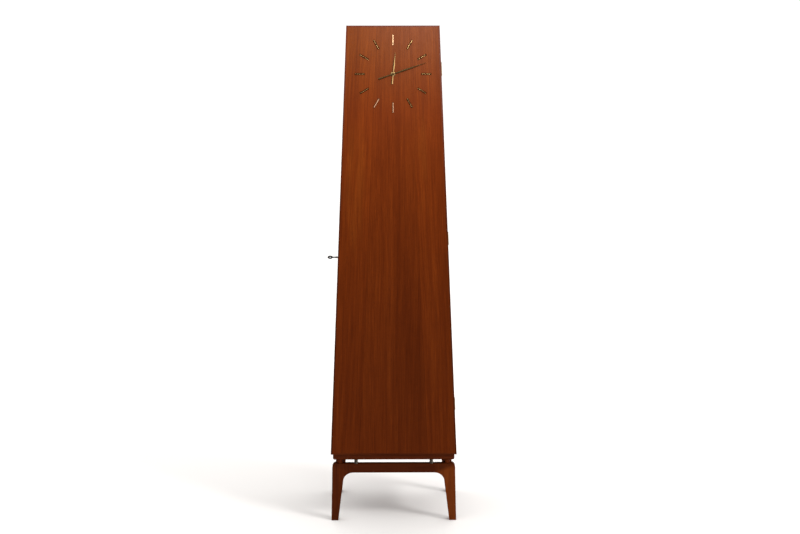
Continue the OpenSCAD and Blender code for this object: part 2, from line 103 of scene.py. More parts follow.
def take(piece):
    """Makes the piece the one that operators work on."""
    clear()
    piece.select_set(True)
    bpy.context.view_layer.objects.active = piece
    return piece


def settle(piece):
    """Puts the piece's place, turn and size into its mesh."""
    take(piece)
    bpy.ops.object.transform_apply(location=True, rotation=True, scale=True)
    return piece


def edit(piece):
    """Opens the piece for work on its corners, edges and faces, until done."""
    take(piece)
    bpy.ops.object.mode_set(mode="EDIT")


def done():
    bpy.ops.object.mode_set(mode="OBJECT")


def pick(kind, test):
    """In edit mode, selects the corners, edges or faces whose middle passes the test."""
    bpy.ops.mesh.select_mode(type=kind)
    bpy.ops.mesh.select_all(action="DESELECT")
    data = bpy.context.object.data
    mesh = bmesh.from_edit_mesh(data)
    for part in {"VERT": mesh.verts, "EDGE": mesh.edges, "FACE": mesh.faces}[kind]:
        corners = [part] if kind == "VERT" else part.verts
        middle = sum((v.co for v in corners), Vector()) / len(corners)
        if test(middle, part):
            part.select_set(True)
    mesh.select_flush_mode()
    bmesh.update_edit_mesh(data)


def picked_x(piece):
    """Where the picked corners of a piece in edit mode stand along x."""
    return next(v.co.x for v in bmesh.from_edit_mesh(piece.data).verts if v.select)


def block(name, low, high):
    """A block between its low and high corners."""
    clear()
    low, high = Vector(low), Vector(high)
    bpy.ops.mesh.primitive_cube_add(size=1, location=(low + high) / 2)
    piece = bpy.context.object
    piece.name = name
    piece.scale = high - low
    return settle(piece)


def slide(value, test):
    """Moves the picked corners of the piece in hand."""
    edit(bpy.context.object)
    pick("VERT", test)
    bpy.ops.transform.translate(value=value)
    done()


def turned(name, axis, at, profile, sides=32):
    """Turned work: a disc drawn out and resized along its axis, by (distance, radius) steps."""
    clear()
    first, radius = profile[0]
    bpy.ops.mesh.primitive_circle_add(vertices=sides, radius=radius, fill_type="NGON", location=(0, 0, first))
    piece = bpy.context.object
    piece.name = name
    settle(piece)
    edit(piece)
    bpy.ops.mesh.select_all(action="SELECT")
    for (z0, r0), (z1, r1) in zip(profile, profile[1:]):
        bpy.ops.mesh.extrude_region_move(TRANSFORM_OT_translate={"value": (0, 0, z1 - z0)})
        if r1 != r0:
            bpy.ops.transform.resize(value=(r1 / r0, r1 / r0, 1), center_override=(0, 0, z1))
    bpy.ops.mesh.select_all(action="SELECT")
    bpy.ops.mesh.normals_make_consistent(inside=False)
    done()
    piece.rotation_euler = {"x": (0, math.pi / 2, 0), "y": (-math.pi / 2, 0, 0), "z": (0, 0, 0)}[axis]
    piece.location = at
    return settle(piece)


def rod(axis, at, radius, start, end, sides=48):
    """A plain rod, used to cut a round hole or hollow."""
    return turned("rod", axis, at, [(start, radius), (end, radius)], sides)


def cut(piece, *cutters):
    """Cuts the piece with other shapes, which are then thrown away."""
    for cutter in cutters:
        take(piece)
        tool = piece.modifiers.new("cut", "BOOLEAN")
        tool.operation = "DIFFERENCE"
        tool.solver = "EXACT"
        tool.object = cutter
        bpy.ops.object.modifier_apply(modifier=tool.name)
        bpy.data.objects.remove(cutter)
    return take(piece)


def copy_of(node, name):
    """A copy of a node, merged into one skin so that its edges can be worked."""
    take(frame["nodes"][node])
    bpy.ops.object.duplicate()
    piece = bpy.context.object
    piece.name = name
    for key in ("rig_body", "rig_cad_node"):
        if key in piece:
            del piece[key]
    piece.parent = None
    edit(piece)
    bpy.ops.mesh.select_all(action="SELECT")
    bpy.ops.mesh.remove_doubles(threshold=1e-5)
    bpy.ops.mesh.dissolve_limited(angle_limit=math.radians(0.5))
    done()
    return piece


def another(piece, name, turn):
    """A second copy with its own mesh, moved by a matrix and turned the right way out."""
    take(piece)
    bpy.ops.object.duplicate()
    twin = bpy.context.object
    twin.name = name
    twin.matrix_world = turn @ twin.matrix_world
    settle(twin)
    if turn.determinant() < 0:
        edit(twin)
        bpy.ops.mesh.select_all(action="SELECT")
        bpy.ops.mesh.normals_make_consistent(inside=False)
        done()
    return twin


def join(name, first, *others):
    """Makes several pieces one, under a new name."""
    take(first)
    for piece in others:
        piece.select_set(True)
    bpy.ops.object.join()
    first.name = name
    return first


def ease(piece, width, segments=2, skip=None, sharp=25):
    """Takes the sharpness off the edges, except where skip says so."""
    edit(piece)
    limit = math.radians(sharp)
    pick("EDGE", lambda m, e: e.calc_face_angle(0) > limit and not (skip and skip(m)))
    bpy.ops.mesh.bevel(offset=width, segments=segments, affect="EDGES", clamp_overlap=True)
    done()
    return piece


def lean_ends(piece, inset):
    """Moves the corners of a block to the leaning sides, whatever their height, less an inset."""
    edit(piece)
    levels = sorted({round(v.co.z, 6) for v in bmesh.from_edit_mesh(piece.data).verts})
    for z in levels:
        for side in (-1, 1):
            pick("VERT", lambda m, v: abs(m.z - z) < 1e-5 and m.x * side > 0)
            bpy.ops.transform.translate(value=(side * (half(z) - inset) - picked_x(piece), 0, 0))
    done()
    return piece


def leaning_board(name, low, high, inset):
    """A board between the leaning sides; only its depth and heights are taken from low and high."""
    return lean_ends(block(name, (-0.1, low[1], low[2]), (0.1, high[1], high[2])), inset)


def finished(piece, body, slot, material, *nodes, smooth=35):
    """Shades the piece, gives it its finish, and says what it rides on and stands for."""
    settle(piece)
    bpy.ops.object.shade_smooth_by_angle(angle=math.radians(smooth))
    piece.data.materials.clear()
    piece.data.materials.append(material)
    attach(piece, body)
    if nodes:
        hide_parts(*nodes)
    return piece


def hinge_frame(z):
    """The place and lean of the hinge at height z."""
    return Matrix.Translation((half(z), HINGE_Y, z)) @ Matrix.Rotation(-LEAN, 4, "Y")


# ---- Materials ----

class Finish:
    """A material being built up from nodes."""

    def __init__(self, name):
        self.material = bpy.data.materials.new(name)
        self.material.use_nodes = True
        self.tree = self.material.node_tree
        self.shader = self.tree.nodes["Principled BSDF"]
        self.place = self.add("TexCoord").outputs["Object"]

    def add(self, kind, settings=None, **inputs):
        made = self.tree.nodes.new("ShaderNode" + kind)
        for key, value in (settings or {}).items():
            setattr(made, key, value)
        for key, value in inputs.items():
            self.put(made.inputs[int(key[1:])] if key[1:].isdigit() else made.inputs[key], value)
        return made

    def put(self, socket, value):
        if isinstance(value, bpy.types.NodeSocket):
            self.tree.links.new(value, socket)
        else:
            socket.default_value = value

    def math(self, operation, *values):
        inputs = {f"i{i}": v for i, v in enumerate(values)}
        return self.add("Math", {"operation": operation}, **inputs).outputs[0]

    def axes(self):
        return self.add("SeparateXYZ", Vector=self.place).outputs

    def noise(self, scale, place=None, detail=3.0, roughness=0.5):
        """Cloudy noise, with so many grains to the metre along each axis."""
        stretched = self.add("Mapping", Vector=place or self.place, Scale=scale).outputs[0]
        made = self.add("TexNoise", Vector=stretched, Scale=1.0, Detail=detail, Roughness=roughness)
        return made.outputs[0]

    def ramp(self, value, *stops):
        made = self.add("ValToRGB", Fac=value)
        points = made.color_ramp.elements
        while len(points) < len(stops):
            points.new(0.5)
        for point, (where, colour) in zip(points, stops):
            point.position = where
            point.color = (*colour, 1)
        return made.outputs[0]

    def mix(self, factor, a, b, how="MIX"):
        made = self.add("Mix", {"data_type": "RGBA", "blend_type": how}, i0=factor)
        for socket, value in ((made.inputs[6], a), (made.inputs[7], b)):
            self.put(socket, (*value, 1) if isinstance(value, tuple) else value)
        return made.outputs[2]

    def tint(self, where, colour, by):
        """The colour multiplied by another, as strongly as where says."""
        return self.mix(where, colour, self.mix(1.0, colour, by, "MULTIPLY"))

    def spread(self, value, low, high, to_low=0.0, to_high=1.0):
        """The value's range low to high, stretched to to_low to to_high."""
        made = self.add("MapRange", {"clamp": True}, i0=value, i1=low, i2=high, i3=to_low, i4=to_high)
        return made.outputs[0]

    def bump(self, height, strength, depth):
        self.put(self.shader.inputs["Normal"],
                 self.add("Bump", Height=height, Strength=strength, Distance=depth).outputs[0])

    def set(self, **values):
        for key, value in values.items():
            self.put(self.shader.inputs[key.replace("_", " ")], value)
        return self.material


def shade(colour, k):
    """The colour made darker or lighter, k times."""
    return tuple(c * k for c in colour)


def grain_place(f, axis, offset):
    """Object coordinates turned so that the grain runs along the third axis."""
    x, y, z = f.axes()
    order = {"x": (y, z, x), "y": (x, z, y), "z": (x, y, z)}[axis]
    joined = f.add("CombineXYZ", X=order[0], Y=order[1], Z=order[2]).outputs[0]
    return f.add("Mapping", Vector=joined, Location=offset).outputs[0]


def wood(f, place, dark, mid, light):
    """Straight-grained teak: broad bands, narrow streaks, short bright flecks, fine lines and open pores."""
    wander = f.noise((0.8, 0.8, 1.3), place, detail=1.0)
    drift = f.math("MULTIPLY", f.math("SUBTRACT", wander, 0.5), 0.03)
    shift = f.add("CombineXYZ", X=drift, Y=drift, Z=0.0).outputs[0]
    place = f.add("VectorMath", {"operation": "ADD"}, i0=place, i1=shift).outputs[0]
    bands = f.noise((16, 16, 0.9), place, detail=2.0)
    streaks = f.noise((95, 95, 1.8), place, detail=4.0, roughness=0.6)
    lines = f.noise((520, 520, 3.5), place, detail=3.0, roughness=0.65)
    flecks = f.noise((300, 300, 8), place, detail=2.0, roughness=0.6)
    mottle = f.noise((22, 22, 9), place, detail=3.0, roughness=0.55)
    pores = f.noise((2100, 2100, 45), place, detail=1.0)
    # the bands, streaks and lines weigh 0.34, 0.40 and 0.26 in the grain
    fine = f.math("MULTIPLY_ADD", streaks, 0.40, f.math("MULTIPLY", lines, 0.26))
    grain = f.spread(f.math("MULTIPLY_ADD", bands, 0.34, fine), 0.34, 0.66)
    colour = f.ramp(grain, (0.0, dark), (0.5, mid), (1.0, light))
    colour = f.tint(f.spread(flecks, 0.54, 0.74, 0.0, 0.55), colour, (1.5, 1.6, 1.8))
    colour = f.tint(f.spread(flecks, 0.45, 0.28, 0.0, 0.6), colour, (0.7, 0.66, 0.6))
    colour = f.tint(f.spread(mottle, 0.35, 0.65, 0.0, 0.3), colour, (0.84, 0.80, 0.80))
    open_pores = f.spread(pores, 0.60, 0.72)
    colour = f.mix(f.math("MULTIPLY", open_pores, 0.45), colour, shade(dark, 0.4))
    relief = f.math("SUBTRACT", f.math("MULTIPLY", lines, 0.5), open_pores)
    return colour, grain, relief


# painted shade: the top of each leg's arm is darkened towards its rail's tone above a slanting line
ARM_SHADE_SLANT = 0.373  # how steeply the painted shade, in the rail's tone, runs out over a leg's arm
ARM_SHADE_FADE = (0.127, 0.143)


def teak(name, axis, dark, mid, light, offset=(0, 0, 0), rough=0.4, level=0.06, arm=None):
    """A teak finish with the grain along one axis, satin from oil and handling.

    The arm tint is painted shade: it darkens a leg towards its rail's tone above a slanting line."""
    f = Finish(name)
    colour, grain, relief = wood(f, grain_place(f, axis, offset), dark, mid, light)
    # painted shade: above a slanting line the leg is darkened by the arm tint
    if arm:
        x, _, z = f.axes()
        rise = f.math("MULTIPLY_ADD", f.math("ABSOLUTE", x), -ARM_SHADE_SLANT, z)
        colour = f.tint(f.spread(rise, *ARM_SHADE_FADE), colour, arm)
    f.bump(relief, 0.22, 0.00025)
    return f.set(Base_Color=colour, Roughness=f.spread(grain, 0, 1, rough + 0.06, rough - 0.04),
                 Specular_IOR_Level=level)


LEAF_W = 112 * MM  # width of an outer leaf of the door's veneer
SEAM_W = 0.8 * MM


def door_veneer():
    """Two outer leaves that lean with the door's edges, meeting an upright pair in the middle."""
    f = Finish("door_veneer")
    x, _, z = f.axes()
    width = f.math("MULTIPLY_ADD", z, -SLOPE, HALF_TOP + HEIGHT * SLOPE)
    inset = f.math("SUBTRACT", width, f.math("ABSOLUTE", x))
    outer = f.math("LESS_THAN", inset, LEAF_W)
    side = f.math("SIGN", x)
    along_edge = f.math("MULTIPLY", side, f.math("SUBTRACT", 0.9, inset))
    across = f.add("Mix", {"data_type": "FLOAT"}, i0=outer, i2=x, i3=along_edge).outputs[0]
    leaf = f.math("MULTIPLY_ADD", outer, 2.0, side)
    place = f.add("CombineXYZ", X=across, Y=f.math("MULTIPLY", leaf, 0.37), Z=z).outputs[0]
    colour, grain, relief = wood(f, place, TEAK_DARK, TEAK_MID, TEAK_LIGHT)

    def region(across, sides, heights, side_fade, end_fade):
        """1 between the sides and heights, falling off to 0 over the fades."""
        inside = 1.0
        for value, (low, high), fade in ((across, sides, side_fade), (z, heights, end_fade)):
            inside = f.math("MULTIPLY", f.spread(value, low - fade, low), inside)
            inside = f.math("MULTIPLY", f.spread(value, high + fade, high), inside)
        return inside

    def tint(where, ripple, strength, by):
        return f.tint(f.math("MULTIPLY", f.math("MULTIPLY", where, ripple), strength), colour, by)

    ripple = f.noise((40, 40, 5))
    from_left = f.math("ADD", width, x)
    from_right = f.math("SUBTRACT", width, x)
    # the outer leaves are a little paler, and the right one of the middle pair darker below the clock
    colour = tint(outer, 1.0, 0.3, (1.12, 1.08, 1.0))
    below_clock = region(x, (0.004, 0.3), (0.2, 1.55), 0.002, 0.06)
    colour = tint(below_clock, f.math("SUBTRACT", 1.0, outer), 0.35, (0.80, 0.78, 0.80))
    # a warm patch in each outer leaf, and a pale streak left of the middle
    for patch in (region(from_right, (0.072, 0.108), (1.28, 1.53), 0.012, 0.10),
                  region(from_left, (0.028, 0.078), (1.16, 1.46), 0.02, 0.16)):
        colour = tint(patch, f.spread(ripple, 0.35, 0.6), 0.8, (1.14, 1.36, 1.5))
    streak = region(x, (-0.022, -0.005), (0.5, 1.22), 0.008, 0.2)
    colour = tint(streak, f.spread(ripple, 0.3, 0.7, 0.4, 1.0), 0.8, (1.16, 1.24, 1.4))
    # painted sheen: the top is made paler and yellower, standing in for the light's sheen there
    colour = f.tint(f.spread(z, 1.58, 1.82), colour, (1.01, 1.30, 1.12))
    # hairline seams between the leaves
    to_seam = f.math("MINIMUM", f.math("ABSOLUTE", f.math("SUBTRACT", inset, LEAF_W)), f.math("ABSOLUTE", x))
    seam = f.spread(to_seam, SEAM_W / 4, SEAM_W, 1.0, 0.0)
    colour = f.mix(f.math("MULTIPLY", seam, 0.4), colour, shade(TEAK_DARK, 0.5))
    f.bump(f.math("SUBTRACT", relief, seam), 0.2, 0.00025)
    return f.set(Base_Color=colour, Roughness=f.spread(grain, 0, 1, 0.4, 0.34), Specular_IOR_Level=0.036)


# painted shade: the dark tone at the foot of the hour bars
FOOT_SHADE_TONE = (0.045, 0.016, 0.005)


def metal(name, colour, dark, rough=0.3, brush=(900, 900, 30), spots=0.35, metallic=0.93, shade_span=None):
    """A worn metal: fine brushing, with duller patches where it has tarnished.

    Painted shade darkens it over a given range of y, where it stands on the door."""
    f = Finish(name)
    strokes = f.noise(brush, detail=2.0)
    patches = f.noise((45, 45, 45), detail=4.0, roughness=0.6)
    tarnish = f.spread(patches, 0.5, 0.75, 0.0, spots)
    tint = f.mix(tarnish, f.mix(f.spread(strokes, 0.3, 0.7), shade(colour, 0.88), colour), dark)
    # painted shade at the foot, where the bar stands on the door
    if shade_span:
        tint = f.mix(f.spread(f.axes()[1], *shade_span), tint, FOOT_SHADE_TONE)
    f.bump(strokes, 0.12, 0.00008)
    brushed = f.spread(strokes, 0.3, 0.7, rough - 0.05, rough + 0.05)
    return f.set(Base_Color=tint, Metallic=metallic,
                 Roughness=f.math("ADD", brushed, f.math("MULTIPLY", tarnish, 0.3)))


def iron(name, colour, worn):
    """Blackened iron, rubbed a little bright in places."""
    f = Finish(name)
    coarse = f.noise((160, 160, 160), detail=5.0, roughness=0.65)
    rubbed = f.spread(f.noise((60, 60, 60)), 0.55, 0.75)
    f.bump(coarse, 0.35, 0.0002)
    black = f.ramp(coarse, (0.3, shade(colour, 0.7)), (0.7, colour))
    return f.set(Base_Color=f.mix(rubbed, black, worn), Metallic=f.math("MULTIPLY_ADD", rubbed, 0.4, 0.4),
                 Roughness=f.spread(coarse, 0.3, 0.7, 0.5, 0.38))


def moulded(name, colour):
    """Moulded plastic with a fine spark-eroded texture."""
    f = Finish(name)
    fine = f.noise((2600, 2600, 2600), detail=2.0)
    haze = f.noise((30, 30, 30))
    f.bump(fine, 0.25, 0.00008)
    return f.set(Base_Color=f.mix(f.spread(haze, 0.4, 0.7), colour, shade(colour, 1.6)),
                 Roughness=f.spread(haze, 0.3, 0.7, 0.42, 0.55))


def sleeve(name, low_x, high_x):
    """The battery's printed sleeve: a green body and a copper-coloured end, then bare metal."""
    green, copper = (0.05, 0.1, 0.07), (0.5, 0.24, 0.1)
    f = Finish(name)
    bands = f.ramp(f.spread(f.axes()[0], low_x, high_x), (0.0, (0.35, 0.34, 0.32)), (0.03, green),
                   (0.62, green), (0.64, copper), (0.94, copper), (0.96, (0.5, 0.48, 0.45)))
    bands.node.color_ramp.interpolation = "CONSTANT"
    scuffs = f.noise((20, 300, 300), detail=4.0)
    f.bump(scuffs, 0.1, 0.0001)
    return f.set(Base_Color=f.mix(f.spread(scuffs, 0.55, 0.75, 0.0, 0.35), bands, (0.3, 0.3, 0.28)),
                 Roughness=f.spread(scuffs, 0.3, 0.7, 0.28, 0.45))


def toned(name, axis, tones, offset, **more):
    """Teak of the three main tones, each made darker or lighter."""
    dark, mid, light = (shade(c, k) for c, k in zip((TEAK_DARK, TEAK_MID, TEAK_LIGHT), tones))
    return teak(name, axis, dark, mid, light, offset, **more)


TEAK_DARK = (0.072, 0.0105, 0.0007)
TEAK_MID = (0.094, 0.0148, 0.0011)
TEAK_LIGHT = (0.122, 0.0212, 0.0018)

DOOR_VENEER = door_veneer()
SIDE_VENEER = toned("side_veneer", "z", (1, 1, 1), (0.4, 1.7, 0.3))
TOP_VENEER = toned("top_veneer", "x", (1, 1, 1), (1.4, 0.7, 0.3))
INNER_VENEER = toned("inner_veneer", "z", (1.5, 1.6, 1.6), (2.1, 0.2, 1.1), rough=0.55, level=0.1)
SHELF_VENEER = toned("shelf_veneer", "x", (1.5, 1.6, 1.6), (0.1, 2.2, 1.6), rough=0.55, level=0.1)
EDGING = toned("edging", "z", (0.7, 0.72, 0.75), (3, 1, 0))
EDGING_ACROSS = toned("edging_across", "x", (0.7, 0.75, 0.8), (0.5, 3, 0))
BOARD_TEAK = toned("board_teak", "x", (0.8, 0.85, 0.9), (0.9, 0.4, 2.2))
RAIL_TEAK = toned("rail_teak", "x", (0.62, 0.62, 0.62), (0.2, 0.9, 0.6))
SIDE_RAIL_TEAK = toned("side_rail_teak", "y", (0.8, 0.8, 0.8), (1.2, 0.3, 0.6))
# painted shade: the arm tints darken the top of each leg's arm towards its rail's tone
LEG_TEAK = toned("leg_teak", "z", (0.74, 0.74, 0.76), (0.7, 2.9, 1.6), arm=(0.84, 0.84, 0.84))
SPACER_TEAK = toned("spacer_teak", "z", (1.2, 1.2, 1.2), (0.1, 0.2, 4.6))
# painted light: the front right leg gets a lighter, warmer copy of the leg teak, standing in for the light
# from the right
LIT_LEG_TEAK = teak("painted_lit_leg", "z", (0.082, 0.0135, 0.0011), (0.124, 0.0230, 0.0018), (0.170, 0.0340, 0.0028),
                (0.3, 1.9, 0.6), arm=(0.48, 0.42, 0.42))
BEECH = teak("beech", "z", (0.42, 0.27, 0.14), (0.55, 0.37, 0.2), (0.62, 0.44, 0.27), rough=0.6)

# how far out from the door the hour bars are darkened with painted shade
MARKER_FOOT = (FRONT - 2.4 * MM, FRONT - 1.5 * MM)
# painted highlight: the dull marker brass, and lighter copies of it standing in for the glints on the bars at
# 12, 6 and 7
MARKER_BRASS = metal("marker_brass", (0.34, 0.21, 0.08), (0.18, 0.10, 0.035), rough=0.32, spots=0.5,
                     shade_span=MARKER_FOOT)
GLINT_MARKER = metal("painted_glint_marker", (0.98, 0.62, 0.34), (0.5, 0.28, 0.13), rough=0.4, spots=0.1,
                      metallic=0.6, shade_span=MARKER_FOOT)
SHEEN_MARKER = metal("painted_sheen_marker", (0.60, 0.33, 0.19), (0.3, 0.16, 0.08), rough=0.4, spots=0.3,
                    metallic=0.6, shade_span=MARKER_FOOT)
CLOCK_BRASS = metal("clock_brass", (0.80, 0.50, 0.20), (0.34, 0.20, 0.07), rough=0.17, spots=0.15,
                    metallic=0.97)
HUB_BRASS = metal("hub_brass", (0.19, 0.125, 0.05), (0.10, 0.065, 0.03), rough=0.5, spots=0.7)
AGED_BRASS = metal("aged_brass", (0.40, 0.26, 0.10), (0.15, 0.09, 0.035), rough=0.4, spots=0.6)
STEEL = metal("turned_steel", (0.40, 0.35, 0.28), (0.14, 0.10, 0.07), rough=0.38, brush=(300, 300, 2200),
              spots=0.5)
SCREW_STEEL = metal("screw_steel", (0.45, 0.42, 0.36), (0.16, 0.13, 0.1), rough=0.35)
KEY_IRON = iron("key_iron", (0.016, 0.016, 0.018), (0.10, 0.10, 0.10))
LOCK_IRON = iron("lock_iron", (0.03, 0.028, 0.027), (0.12, 0.11, 0.10))
PLASTIC = moulded("moulded_plastic", (0.022, 0.022, 0.023))


# ---- Camera, light and floor ----

EYE = (0, -4.38, 1.7018)
PITCH, YAW, ROLL = math.radians(80.638), math.radians(-0.341), math.radians(-0.05)
LENS = 50.85
FRONT_FILL, BACK_FILL, RIGHT_FILL, TOP_FILL = 0.70, 1.0, 0.4, 0.52


def add_camera():
    """A standing person's view of the front, from a little over four metres."""
    clear()
    bpy.ops.object.camera_add(location=EYE, rotation=(PITCH, 0, YAW))
    camera = bpy.context.object
    camera.rotation_euler.rotate_axis("Z", ROLL)
    camera.data.lens = LENS
    camera.data.sensor_width = 36
    camera.data.clip_end = 200
    bpy.context.scene.camera = camera


def add_lamp(kind, name, place, aim, energy):
    """A lamp that can't be seen itself, aimed from its place."""
    clear()
    bpy.ops.object.light_add(type=kind, location=place)
    lamp = bpy.context.object
    lamp.name = name
    lamp.rotation_euler = (Vector(aim) - Vector(place)).to_track_quat("-Z", "Y").to_euler()
    lamp.data.energy = energy
    lamp.visible_camera = False
    return lamp.data


def add_world():
    """A white studio, lighting softly all round, with a dark front that only a right-hand panel brightens."""
    world = bpy.data.worlds.new("studio")
    bpy.context.scene.world = world
    world.use_nodes = True
    nodes, links = world.node_tree.nodes, world.node_tree.links

    def spread(value, low, high, to_low, to_high):
        made = nodes.new("ShaderNodeMapRange")
        made.interpolation_type = "SMOOTHSTEP"
        for i, number in enumerate((low, high, to_low, to_high)):
            made.inputs[i + 1].default_value = number
        links.new(value, made.inputs[0])
        return made.outputs[0]

    def total(a, b):
        made = nodes.new("ShaderNodeMath")
        links.new(a, made.inputs[0])
        links.new(b, made.inputs[1])
        return made.outputs[0]

    def glow(strength):
        made = nodes.new("ShaderNodeBackground")
        made.inputs["Color"].default_value = (1, 1, 1, 1)
        if isinstance(strength, float):
            made.inputs["Strength"].default_value = strength
        else:
            links.new(strength, made.inputs["Strength"])
        return made.outputs[0]

    def choose(test, if_not, if_so):
        made = nodes.new("ShaderNodeMixShader")
        for i, socket in enumerate((test, if_not, if_so)):
            links.new(socket, made.inputs[i])
        return made.outputs[0]

    way = nodes.new("ShaderNodeSeparateXYZ")
    links.new(nodes.new("ShaderNodeTexCoord").outputs["Generated"], way.inputs[0])
    x, y, z = way.outputs
    soft = total(spread(y, -0.5, 0.5, FRONT_FILL, BACK_FILL),
                 total(spread(x, 0.3, 1.0, 0.0, RIGHT_FILL), spread(z, 0.4, 1.0, 0.0, TOP_FILL)))
    mirrored = total(spread(x, 0.7, 0.95, 0.0, 1.3), spread(z, 0.2, 1.0, 0.03, 0.09))
    ray = nodes.new("ShaderNodeLightPath").outputs
    lit = choose(ray["Is Glossy Ray"], glow(soft), glow(mirrored))
    links.new(choose(ray["Is Camera Ray"], lit, glow(1.1)), nodes["World Output"].inputs[0])


def add_studio():
    """The world, two lamps and a pale floor."""
    add_world()
    # a gridded lamp on the clock, and a broad light from the right that only casts soft shadows
    clock_lamp = add_lamp("AREA", "clock_lamp", (0.2, -1.6, 2.2), (0, -0.18, 2.06), 11.2)
    clock_lamp.shape = "DISK"
    clock_lamp.size = 0.5
    clock_lamp.spread = math.radians(90)
    add_lamp("SUN", "from_right", (3, -1.7, 3), (0, 0, 0.1), 1.0).angle = math.radians(14)
    bpy.context.object.visible_glossy = False
    clear()
    bpy.ops.mesh.primitive_grid_add(x_subdivisions=8, y_subdivisions=8, size=60)
    floor = bpy.context.object
    floor.name = "floor"
    f = Finish("pale_floor")
    clouds = f.noise((0.7, 0.7, 0.7), detail=2.0)
    pale = f.ramp(clouds, (0.3, (0.92, 0.895, 0.87)), (0.7, (0.94, 0.915, 0.89)))
    floor.data.materials.append(f.set(Base_Color=pale, Roughness=0.9, Specular_IOR_Level=0.1))
    floor.visible_glossy = False
    bpy.context.scene.view_settings.view_transform = "Standard"


# ---- Door ----

HINGES = ("lower", "middle", "upper")
HINGE_ZS = [sum(v.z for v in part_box(f"hinge_{name}_door_leaf")) / 2 for name in HINGES]
LEAF_REACH = 15.2 * MM
LEAF_BED = 1.75 * MM
LEAF_HALF = 24 * MM
KNUCKLE_ROOM = 3.25 * MM


def hinge_cutters():
    """The shallow beds in the door's edge that the hinge leaves lie in, and the room for their knuckles."""
    cutters = []
    for z in HINGE_ZS:
        bed = block("bed", (-LEAF_REACH, -LEAF_BED, -LEAF_HALF), (6 * MM, 0.5 * MM, LEAF_HALF))
        room = rod("z", (0, 0, 0), KNUCKLE_ROOM, -LEAF_HALF - 1.6 * MM, LEAF_HALF + 1.6 * MM)
        for cutter in (bed, room):
            cutter.matrix_world = hinge_frame(z)
            cutters.append(settle(cutter))
    return cutters


def on_joint(inset):
    """Picks what lies on a glued joint, an inset in from the leaning sides."""
    return lambda m: abs(abs(m.x) - (half(m.z) - inset)) < 0.6 * MM


def make_door_edges():
    """Solid lippings round the veneered door, the right one let out for the hinges."""
    inner = on_joint(LIP)
    right = block("door_edge_right", (HALF_FOOT - LIP, FRONT, DOOR_FOOT), (HALF_FOOT, DOOR_BACK, HEIGHT))
    slide((HALF_TOP - HALF_FOOT, 0, 0), lambda m, v: m.z > HEIGHT - MM)
    left = another(right, "door_edge_left", MIRROR_X)
    cut(right, *hinge_cutters())
    for edge, node in ((left, "door_lip_left"), (right, "door_lip_right")):
        ease(edge, 0.9 * MM, skip=lambda m: inner(m) or m.y > DOOR_BACK - 0.1 * MM and edge == right)
        finished(edge, "door", "teak_lipping", EDGING, node)
    for name, z_low, z_high, flush in (("bottom", DOOR_FOOT, DOOR_FOOT + LIP, DOOR_FOOT + LIP),
                                       ("top", HEIGHT - LIP, HEIGHT, HEIGHT - LIP)):
        edge = leaning_board("door_edge_" + name, (0, FRONT, z_low), (0, DOOR_BACK, z_high), LIP)
        ease(edge, 0.9 * MM, skip=lambda m: abs(m.z - flush) < 0.1 * MM or inner(m))
        finished(edge, "door", "teak_lipping", EDGING_ACROSS, "door_lip_" + name)


# ---- Clock ----

def clock_turn(angle):
    """Turned clockwise about the clock's centre, as seen from the front."""
    return Matrix.Translation(CLOCK) @ Matrix.Rotation(angle, 4, "Y") @ Matrix.Translation(-CLOCK)


def make_hour_markers():
    """Ridged brass bars with clipped ends, one for each hour."""
    low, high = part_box("hour_marker_12")
    bar = block("hour_bar_12", low, high)
    edit(bar)
    pick("FACE", lambda m, face: face.normal.y < -0.9)
    bpy.ops.transform.resize(value=(0.07, 1, 0.93))
    done()
    ease(bar, 0.2 * MM, skip=lambda m: m.y > high.y - 0.1 * MM or m.y < low.y + 0.3 * MM)
    bars = {12: bar}
    for hour in range(1, 12):
        bars[hour] = another(bar, f"hour_bar_{hour}", clock_turn(math.radians(30 * hour)))
    for hour, made in bars.items():
        # painted highlight: the bars at 12, 6 and 7 take the lighter copies, for their glints
        brass = {12: GLINT_MARKER, 6: SHEEN_MARKER, 7: SHEEN_MARKER}.get(hour, MARKER_BRASS)
        finished(made, "door", "clock_brass", brass, f"hour_marker_{hour}", smooth=20)


def make_hand(name, body, node, angle, length, width, tail, y_back, ridge, hub, bore=0.0):
    """A slim creased hand: broadest a third of the way out, with a tapered tail."""
    waist = 1.4 * MM
    thin = 0.3 * MM
    y = FRONT + y_back
    hand = block(name, (-0.45 * width, y - ridge - thin, CLOCK.z - tail), (0.45 * width, y, CLOCK.z))
    edit(hand)
    pick("FACE", lambda m, face: face.normal.z > 0.9)
    bpy.ops.transform.resize(value=(waist / (0.45 * width), 1, 1))
    for step, ratio in ((length * 0.34, width / 2 / waist), (length * 0.66, 0.8 * MM / width)):
        bpy.ops.mesh.extrude_region_move(TRANSFORM_OT_translate={"value": (0, 0, step)})
        bpy.ops.transform.resize(value=(ratio, 1, 1))
    bpy.ops.mesh.select_all(action="SELECT")
    bpy.ops.mesh.bisect(plane_co=(0, 0, 0), plane_no=(1, 0, 0))
    # the crease stands forward and the outer edges are thin
    pick("VERT", lambda m, v: abs(m.x) > 0.2 * MM and m.y < y - 0.5 * ridge)
    bpy.ops.transform.translate(value=(0, ridge, 0))
    bpy.ops.mesh.select_all(action="SELECT")
    bpy.ops.mesh.normals_make_consistent(inside=False)
    done()
    parts = [hand] + [turned("hub", "y", CLOCK, profile) for profile in hub]
    if bore:
        for part in parts:
            cut(part, rod("y", CLOCK, bore, -14 * MM, 20 * MM))
    hand = join(name, *parts)
    hand.matrix_world = clock_turn(angle) @ hand.matrix_world
    return finished(hand, body, "clock_brass", CLOCK_BRASS, node, smooth=20)


def steps(*pairs):
    """A turning's profile, given in millimetres along it and out from its middle."""
    return [(along * MM, out * MM) for along, out in pairs]


MINUTES = 11.9


